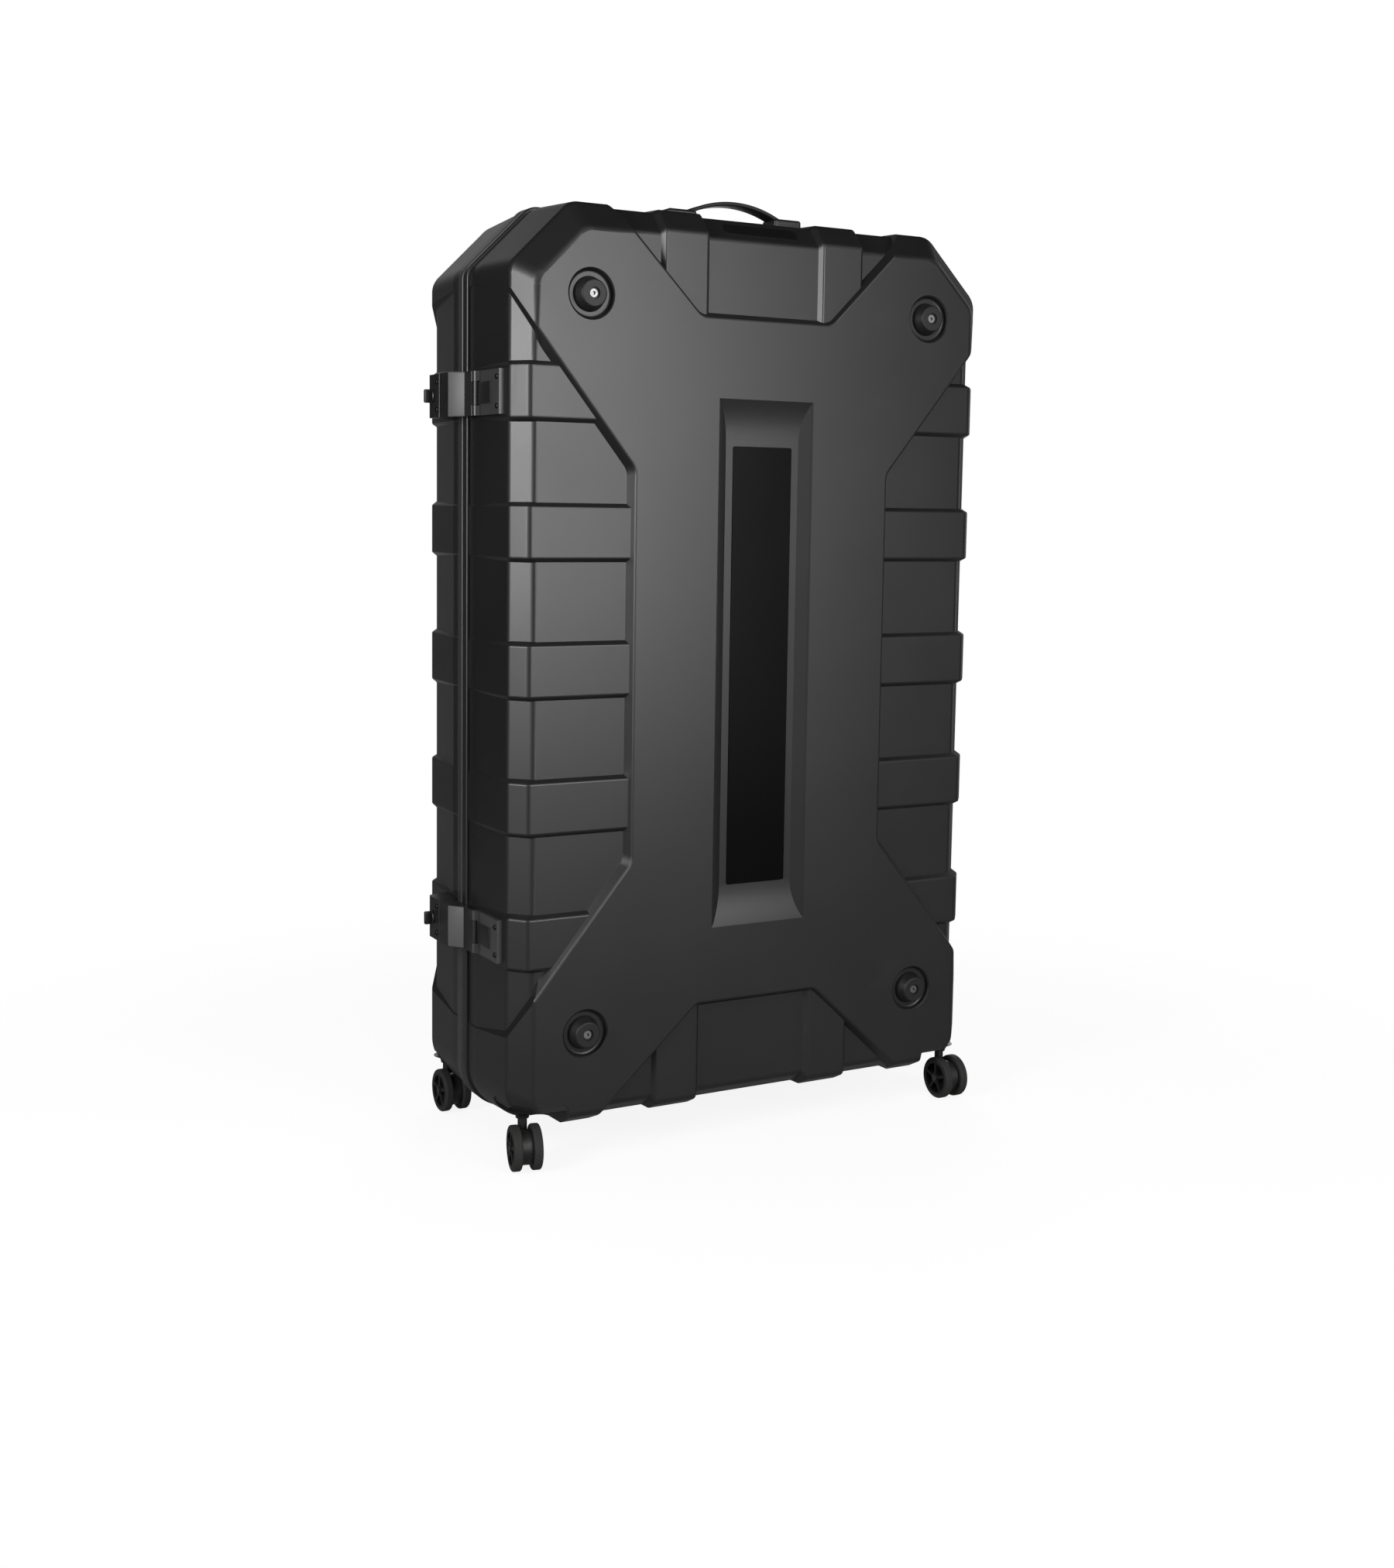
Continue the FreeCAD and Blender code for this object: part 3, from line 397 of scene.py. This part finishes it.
# Moulded finishes: colour, roughness, grain scale, grain depth in millimetres, specular level, marks
moulded_looks = {
    "shell_plastic": (grey(23), 0.36, 1500.0, 0.08, 0.5, 0.3),
    "frame_plastic": (grey(25), 0.34, 1500.0, 0.06, 0.5, 0.2),
    # Back rim frame: lighter than the front frame, a painted sheen for the grey strip of reflected light on
    # its rounded profile
    "back_rim_painted_sheen": (grey(42), 0.38, 1500.0, 0.06, 0.5, 0.2),
    "seal_rubber": (grey(18), 0.7, 900.0, 0.1, 0.3, 0.1),
    "foot_rubber": (grey(20), 0.5, 900.0, 0.1, 0.35, 0.5),
    "post_plastic": (grey(34), 0.45, 900.0, 0.1, 0.5, 0.1),
    "trim_plastic": (grey(22), 0.4, 1100.0, 0.1, 0.5, 0.4),
    "latch_plate_plastic": (grey(48), 0.36, 1100.0, 0.1, 0.5, 0.4),
    # Lever ramp plate: its own grey, lightened by painted highlight where the side strip's reflection does
    # not reach
    "lever_plate_grey_and_highlight": (grey(68), 0.45, 1100.0, 0.1, 0.4, 0.3),
    "gloss_plate": (grey(4), 0.24, 1500.0, 0.01, 0.1, 0.1),
    "bare_badge": (grey(15), 0.32, 1500.0, 0.02, 0.4, 0.1),
    "handle_rubber": (grey(22), 0.55, 900.0, 0.1, 0.4, 0.2),
    "hinge_metal": (grey(30), 0.4, 1500.0, 0.05, 0.5, 0.3),
    "caster_plastic": (grey(20), 0.45, 1100.0, 0.1, 0.5, 0.5),
    "wheel_plastic": (grey(14), 0.45, 1100.0, 0.1, 0.35, 0.3),
    "tyre_rubber": (grey(34, 0.03), 0.7, 900.0, 0.2, 0.2, 0.5),
}

# Steel finishes: colour, roughness
steel_looks = {
    "foot_steel": (grey(145), 0.42),
    "steel": (grey(105), 0.45),
    "black_screw": (grey(56), 0.42),
}
finishes = {name: moulded(name, *look) for name, look in moulded_looks.items()}
finishes.update({name: plated_steel(name, *look) for name, look in steel_looks.items()})
finishes["foam"] = open_cell_foam("foam", grey(52))
finishes["webbing"] = woven_webbing("webbing", grey(38))

# Nodes with a finish of their own; the others take the finish of their slot
own_finish = {
    "badge_plate": "bare_badge",
    "latch_bases": "latch_plate_plastic",
    # The back frame takes the lighter grey with painted sheen
    "back_frame": "back_rim_painted_sheen",
}
for row in frame["record"]["subparts"]:
    mesh = nodes[row["node"]].data
    mesh.materials.clear()
    mesh.materials.append(finishes[own_finish.get(row["node"], row["material_slot"])])


# Pieces
def finish_piece(name, shape, finish, body, slot, *replaced):
    """Turn a bmesh into a piece that rides on a body and stands for the named nodes."""
    bmesh.ops.recalc_face_normals(shape, faces=shape.faces)
    mesh = bpy.data.meshes.new(name)
    shape.to_mesh(mesh)
    shape.free()
    place_piece(name, mesh, finish, body, slot, *replaced)


def place_piece(name, mesh, finish, body, slot, *replaced):
    mesh.materials.append(finishes[finish])
    mesh.shade_smooth()
    mesh.set_sharp_from_angle(angle=sharp_angle)
    made = bpy.data.objects.new(name, mesh)
    scene.collection.objects.link(made)
    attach(made, body)
    if replaced:
        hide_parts(*replaced)
    return made


def merged_copy(node):
    shape = bmesh.new()
    shape.from_mesh(nodes[node].data)
    bmesh.ops.remove_doubles(shape, verts=shape.verts, dist=weld)
    return shape


def solid_boxes(node):
    """Lowest and highest corner of each separate solid in a CAD node, from low to high."""
    shape = merged_copy(node)
    left = set(shape.verts)
    boxes = []
    while left:
        group = [left.pop()]
        for vertex in group:
            joined = {edge.other_vert(vertex) for edge in vertex.link_edges} & left
            left -= joined
            group += joined
        places = [vertex.co for vertex in group]
        boxes.append(tuple(Vector([choose(place[axis] for place in places) for axis in range(3)])
                           for choose in (min, max)))
    shape.free()
    return sorted(boxes, key=lambda box: (round(box[0].z, box_digits), round(box[0].x, box_digits)))


def bevelled_block(shape, low, high, edge, segments=3):
    """Add a block between two corners to a bmesh, with rounded edges, and give back its vertices."""
    room = Matrix.LocRotScale((low + high) / 2, None, high - low)
    made = bmesh.ops.create_cube(shape, size=1.0, matrix=room)["verts"]
    edges = list({line for vertex in made for line in vertex.link_edges})
    rounded = bmesh.ops.bevel(shape, geom=edges, offset=edge, segments=segments, profile=0.5,
                              affect="EDGES", material=-1)
    return rounded["verts"]


def turned_profile(shape, profile, place, axis):
    """Add a turned piece to a bmesh: profile holds (radius, height) pairs, heights run along axis."""
    earlier = set(shape.verts)
    across = upward.rotation_difference(axis).to_matrix() @ Vector((1, 0, 0))
    points = [shape.verts.new(place + across * radius + axis * height) for radius, height in profile]
    lines = [shape.edges.new(pair) for pair in zip(points, points[1:])]
    bmesh.ops.spin(shape, geom=points + lines, cent=place, axis=axis, angle=2 * math.pi,
                   steps=round_steps, use_merge=True)
    turned = [vertex for vertex in shape.verts if vertex not in earlier]
    bmesh.ops.remove_doubles(shape, verts=turned, dist=weld)


def foam_pad(name, node, body, inner_face):
    """Foam pad with egg-crate hollows on the face that holds the bicycle."""
    shape = merged_copy(node)
    plain = bpy.data.meshes.new(name)
    shape.to_mesh(plain)
    shape.free()
    blank = bpy.data.objects.new(name + "_blank", plain)
    scene.collection.objects.link(blank)
    even = blank.modifiers.new("even", "REMESH")
    even.mode = "VOXEL"
    even.voxel_size = pad_voxel
    soft = blank.modifiers.new("soft", "SMOOTH")
    soft.iterations = pad_smoothing
    evaluated = blank.evaluated_get(bpy.context.evaluated_depsgraph_get())
    dense = bpy.data.meshes.new_from_object(evaluated)
    bpy.data.objects.remove(blank)
    dense.name = name
    dense.materials.clear()
    turn = 2 * math.pi / pad_pitch
    inward = -1 if inner_face > 0 else 1
    for vertex in dense.vertices:
        if abs(vertex.co.y - inner_face) < pad_voxel / 2:
            wave = math.sin(vertex.co.x * turn) * math.sin(vertex.co.z * turn)
            vertex.co.y -= inward * pad_hollow * (1 - wave) / 2
    pad = place_piece(name, dense, "foam", body, "foam", node)


def tie_straps():
    """Webbing straps round the back foam pad, bent over its edges."""
    shape = bmesh.new()
    for low, high in solid_boxes("tie_straps"):
        route = [(low.x, high.y), (low.x, low.y), (high.x, low.y), (high.x, high.y)]
        points = [shape.verts.new((x, y, low.z)) for x, y in route]
        lines = [shape.edges.new(pair) for pair in zip(points, points[1:])]
        raised = bmesh.ops.extrude_edge_only(shape, edges=lines)["geom"]
        tops = [item for item in raised if isinstance(item, bmesh.types.BMVert)]
        bmesh.ops.translate(shape, verts=tops, vec=(0, 0, high.z - low.z))
        folds = [line for point in points[1:3] for line in point.link_edges
                 if abs(line.verts[0].co.z - line.verts[1].co.z) > strap_thick]
        bmesh.ops.bevel(shape, geom=folds, offset=strap_bend, segments=strap_bend_steps, profile=0.5,
                        affect="EDGES", material=-1)
    bmesh.ops.recalc_face_normals(shape, faces=shape.faces)
    bmesh.ops.solidify(shape, geom=shape.faces[:], thickness=strap_thick)
    finish_piece("webbing_straps", shape, "webbing", "back_half", "webbing", "tie_straps")


def strap_buckles():
    """Cam buckles: a plate and, on it, a tilted cam with grip bars."""
    shape = bmesh.new()
    tilt = Matrix.Rotation(cam_tilt, 3, "Z")
    for low, high in solid_boxes("strap_buckles"):
        front = low.y + buckle_dish
        bevelled_block(shape, Vector((low.x, front, low.z)), high, buckle_edge)
        cam_low = Vector((low.x + buckle_frame, low.y + buckle_edge / 2, low.z + buckle_frame))
        cam_high = Vector((high.x - buckle_frame, front + buckle_edge, high.z - buckle_frame))
        cam = bevelled_block(shape, cam_low, cam_high, buckle_edge / 2)
        bmesh.ops.rotate(shape, verts=cam, cent=(cam_low + cam_high) / 2, matrix=tilt)
        for share in cam_bars:
            bar = cam_low.x + (cam_high.x - cam_low.x) * share
            bar_low = Vector((bar - buckle_edge / 2, low.y, cam_low.z + buckle_edge))
            bar_high = Vector((bar + buckle_edge / 2, front, cam_high.z - buckle_edge))
            bevelled_block(shape, bar_low, bar_high, buckle_edge / 4, fine_edge_steps)
    finish_piece("cam_buckles", shape, "trim_plastic", "back_half", "trim_plastic", "strap_buckles")


def carrying_strap():
    """Arched rubber strap of the carrying handle, with rounded edges."""
    low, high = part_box("handle_strap")
    radius = (handle_half ** 2 + handle_rise ** 2) / (2 * handle_rise)
    middle = Vector((0, (low[1] + high[1]) / 2, high[2] - handle_thick / 2 - radius))
    half_width = (high[1] - low[1]) / 2
    half_turn = math.asin((handle_half + handle_margin) / radius)
    shape = bmesh.new()
    corners = [shape.verts.new(middle + Vector((0, side * half_width, radius + rise * handle_thick / 2)))
               for side, rise in ((-1, -1), (1, -1), (1, 1), (-1, 1))]
    shape.faces.new(corners)
    bmesh.ops.bevel(shape, geom=corners, offset=handle_edge, segments=handle_edge_steps, profile=0.5,
                    affect="VERTICES", material=-1)
    bmesh.ops.rotate(shape, verts=shape.verts, cent=middle, matrix=Matrix.Rotation(-half_turn, 3, "Y"))
    bmesh.ops.spin(shape, geom=shape.verts[:] + shape.edges[:] + shape.faces[:], cent=middle,
                   axis=(0, 1, 0), angle=2 * half_turn, steps=round_steps)
    finish_piece("carrying_strap", shape, "handle_rubber", "front_half", "handle_rubber", "handle_strap")


def lock_knob(name):
    """Turning lock: a shaft and a stepped disc with a ridged grip across it."""
    node = "lock_knob_" + name
    low, high = [Vector(corner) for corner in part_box(node)]
    middle = (low + high) / 2
    crown = knob_shaft + knob_disc_thick
    lip = knob_disc_radius - knob_edge
    profile = [(0, 0), (knob_shaft_radius, 0), (knob_shaft_radius, knob_shaft),
               (knob_disc_radius, knob_shaft), (knob_disc_radius, crown - knob_chamfer),
               (knob_disc_radius - knob_chamfer, crown), (lip, crown),
               (lip, crown - knob_step), (0, crown - knob_step)]
    shape = bmesh.new()
    turned_profile(shape, profile, Vector((high.x, middle.y, middle.z)), leftward)
    half = knob_grip_thick / 2
    base = high.x - crown + knob_chamfer
    bevelled_block(shape, Vector((low.x, middle.y - half, low.z)),
                   Vector((base, middle.y + half, high.z)), knob_edge)
    pitch = (high.z - low.z - 2 * knob_edge) / knob_ridges
    reach = half + knob_step
    for ridge in range(knob_ridges):
        height = low.z + knob_edge + pitch * (ridge + 0.5)
        ridge_low = Vector((low.x + knob_edge, middle.y - reach, height - pitch / 4))
        ridge_high = Vector((base - knob_edge, middle.y + reach, height + pitch / 4))
        bevelled_block(shape, ridge_low, ridge_high, knob_edge / 4, fine_edge_steps)
    finish_piece("turn_lock_" + name, shape, "trim_plastic", "knob_" + name, "trim_plastic", node)


def latch_tab_caps():
    """Dark caps on the raised tabs of the two latch plates."""
    shape = bmesh.new()
    for node in ("latch_lever_lower", "latch_lever_upper"):
        low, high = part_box(node)
        height = (low[2] + high[2]) / 2
        bevelled_block(shape, Vector((-tab_top - tab_cap, -tab_far, height - tab_half)),
                       Vector((-tab_top + tab_cap, -tab_near, height + tab_half)), tab_cap / 2)
    finish_piece("latch_tab_caps", shape, "trim_plastic", "front_half", "trim_plastic")


def lever_plate(name):
    """Thin grey plate on the sloping face of a latch lever: partly the ramp's own grey, partly painted
    highlight in place of the side strip's reflection.
    """
    low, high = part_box("latch_lever_" + name)
    along = ramp_crest - ramp_foot
    middle = (ramp_foot + ramp_crest) / 2 + Vector((0, 0, (low[2] + high[2]) / 2))
    half = Vector((ramp_plate, along.length / 2 - ramp_margin, (high[2] - low[2]) / 2 - ramp_margin))
    shape = bmesh.new()
    bevelled_block(shape, middle - half, middle + half, ramp_plate / 2)
    lean = Matrix.Rotation(math.atan2(-along.x, along.y), 3, "Z")
    bmesh.ops.rotate(shape, verts=shape.verts, cent=middle, matrix=lean)
    finish_piece("lever_plate_" + name, shape, "lever_plate_grey_and_highlight", "lever_" + name, "trim_plastic")


def screw_heads(name, node, body):
    """Domed socket heads of the small screws, each on the end that shows; the shanks stay hidden."""
    shape = bmesh.new()
    profile = [(radius * share, screw_head_height * rise)
               for radius, rows in ((screw_head_radius, screw_dome), (screw_socket_radius, screw_socket))
               for share, rise in rows]
    for low, high in solid_boxes(node):
        middle = (low + high) / 2
        if high.x - low.x > high.z - low.z:
            seat = Vector((low.x + screw_head_height, middle.y, middle.z))
            turned_profile(shape, profile, seat, leftward)
        else:
            seat = Vector((middle.x, middle.y, high.z - screw_head_height))
            turned_profile(shape, profile, seat, upward)
    finish_piece(name, shape, "black_screw", body, "steel", node)


foam_pad("front_pad", "front_foam", "front_half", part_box("front_foam")[1][1])
foam_pad("back_pad", "back_foam", "back_half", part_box("back_foam")[0][1])
tie_straps()
strap_buckles()
carrying_strap()
lock_knob("upper")
lock_knob("lower")
latch_tab_caps()
lever_plate("upper")
lever_plate("lower")
screw_heads("front_screw_heads", "front_screws", "front_half")
screw_heads("back_screw_heads", "back_screws", "back_half")


# Studio: pale floor, white surround, soft lamps and cards
def stage_plane(name, centre, across, up, material):
    plane = bmesh.new()
    bmesh.ops.create_grid(plane, x_segments=1, y_segments=1, size=1.0)
    for vertex in plane.verts:
        vertex.co = Vector(centre) + Vector(across) * vertex.co.x + Vector(up) * vertex.co.y
    mesh = bpy.data.meshes.new(name)
    plane.to_mesh(mesh)
    plane.free()
    mesh.materials.append(material)
    made = bpy.data.objects.new(name, mesh)
    scene.collection.objects.link(made)
    return made


def seen_directly(tree):
    """One for camera, mirror and glass rays, zero for soft light."""
    path = tree.nodes.new("ShaderNodeLightPath")
    seen = maths(tree, "MAXIMUM", path.outputs["Is Camera Ray"], path.outputs["Is Glossy Ray"])
    return maths(tree, "MAXIMUM", seen, path.outputs["Is Transmission Ray"])


def pale_floor():
    """Pale floor that keeps the shadow, glows white where it is seen and fades into the surround."""
    material, tree, bsdf = new_material("pale_floor")
    bsdf.inputs["Base Color"].default_value = (floor_white, floor_white, floor_white, 1)
    bsdf.inputs["Roughness"].default_value = floor_roughness
    glow = tree.nodes.new("ShaderNodeEmission")
    near = tree.nodes.new("ShaderNodeMixShader")
    tree.links.new(maths(tree, "MULTIPLY", seen_directly(tree), floor_glow), near.inputs["Fac"])
    tree.links.new(bsdf.outputs["BSDF"], near.inputs[1])
    tree.links.new(glow.outputs["Emission"], near.inputs[2])
    length = tree.nodes.new("ShaderNodeVectorMath")
    length.operation = "LENGTH"
    tree.links.new(tree.nodes.new("ShaderNodeTexCoord").outputs["Object"], length.inputs[0])
    fade = tree.nodes.new("ShaderNodeMixShader")
    tree.links.new(ramp(tree, length.outputs["Value"], floor_near, floor_far), fade.inputs["Fac"])
    tree.links.new(near.outputs["Shader"], fade.inputs[1])
    tree.links.new(tree.nodes.new("ShaderNodeBsdfTransparent").outputs["BSDF"], fade.inputs[2])
    tree.links.new(fade.outputs["Shader"], tree.nodes["Material Output"].inputs["Surface"])
    return material


def white_surround():
    world = bpy.data.worlds.new("white_surround")
    world.use_nodes = True
    tree = world.node_tree
    soft = tree.nodes["Background"]
    soft.inputs["Color"].default_value = white
    soft.inputs["Strength"].default_value = ambient_level
    bright = tree.nodes.new("ShaderNodeBackground")
    bright.inputs["Color"].default_value = white
    mix = tree.nodes.new("ShaderNodeMixShader")
    tree.links.new(seen_directly(tree), mix.inputs["Fac"])
    tree.links.new(soft.outputs["Background"], mix.inputs[1])
    tree.links.new(bright.outputs["Background"], mix.inputs[2])
    tree.links.new(mix.outputs["Shader"], tree.nodes["World Output"].inputs["Surface"])
    scene.world = world


def softbox(name, place, aim, width, height, power, in_gloss=True):
    lamp = bpy.data.lights.new(name, "AREA")
    lamp.shape = "RECTANGLE"
    lamp.size = width
    lamp.size_y = height
    lamp.energy = power
    made = bpy.data.objects.new(name, lamp)
    made.location = place
    made.rotation_euler = (Vector(aim) - Vector(place)).to_track_quat("-Z", "Y").to_euler()
    made.visible_camera = False
    made.visible_glossy = in_gloss
    scene.collection.objects.link(made)


def studio_card(name, centre, across, up, level=0.0):
    """Black or faintly glowing card that only mirror-like rays meet."""
    material, tree, bsdf = new_material(name)
    bsdf.inputs["Base Color"].default_value = black
    bsdf.inputs["Specular IOR Level"].default_value = 0
    bsdf.inputs["Emission Color"].default_value = white
    bsdf.inputs["Emission Strength"].default_value = level
    card = stage_plane(name, centre, across, up, material)
    card.visible_camera = False
    card.visible_diffuse = False
    card.visible_shadow = False
    card.visible_transmission = False


stage_plane("floor", (0, 0, 0), (floor_reach, 0, 0), (0, floor_reach, 0), pale_floor())
white_surround()
softbox("front_box", place=(0.55, -2.85, 1.15), aim=(0.0, -0.15, 0.7), width=1.1, height=1.5, power=45)
softbox("left_strip", place=(-2.3, -0.85, 1.3), aim=(-0.35, -0.15, 0.9), width=0.6, height=1.3, power=42)
softbox("soft_key", place=(-1.0, -2.4, 2.4), aim=(0.0, 0.0, 0.8), width=1.4, height=1.4, power=30,
        in_gloss=False)
softbox("back_box", place=(1.4, 2.2, 1.2), aim=(0.1, 0.15, 0.75), width=1.5, height=1.5, power=30)
studio_card("left_card", centre=(-1.525, 1.055, 0.9), across=(0.845, 1.125, 0), up=(0, 0, 2.4))
studio_card("top_card", centre=(0.1, 0.3, 2.7), across=(2.4, 0, 0), up=(0, 2.0, 0))
# Dim sheet at floor height seen only in reflections: painted shade for the shaded floor under the case
studio_card("floor_card", centre=(0.4, -0.7, 0.004), across=(2.9, 0, 0), up=(0, 2.45, 0), level=0.15)
studio_card("back_card", centre=(0.7, 3.0, 1.2), across=(1.5, 0, 0), up=(0, 0, 2.4), level=0.45)
studio_card("right_back_card", centre=(3.3, 2.2, 1.2), across=(1.1, -1.3, 0), up=(0, 0, 2.4), level=0.1)
studio_card("camera_card", centre=(-0.95, -3.0, 1.0), across=(0.85, 0, 0), up=(0, 0, 1.4))
studio_card("right_card", centre=(2.35, -1.6, 0.8), across=(0.7, 1.0, 0), up=(0, 0, 1.8))

camera_data = bpy.data.cameras.new("photo_camera")
camera_data.lens = camera_lens
camera_data.shift_y = camera_shift
camera = bpy.data.objects.new("photo_camera", camera_data)
camera.location = camera_place
camera.rotation_euler = Euler([math.radians(turn) for turn in camera_turn])
scene.collection.objects.link(camera)
scene.camera = camera
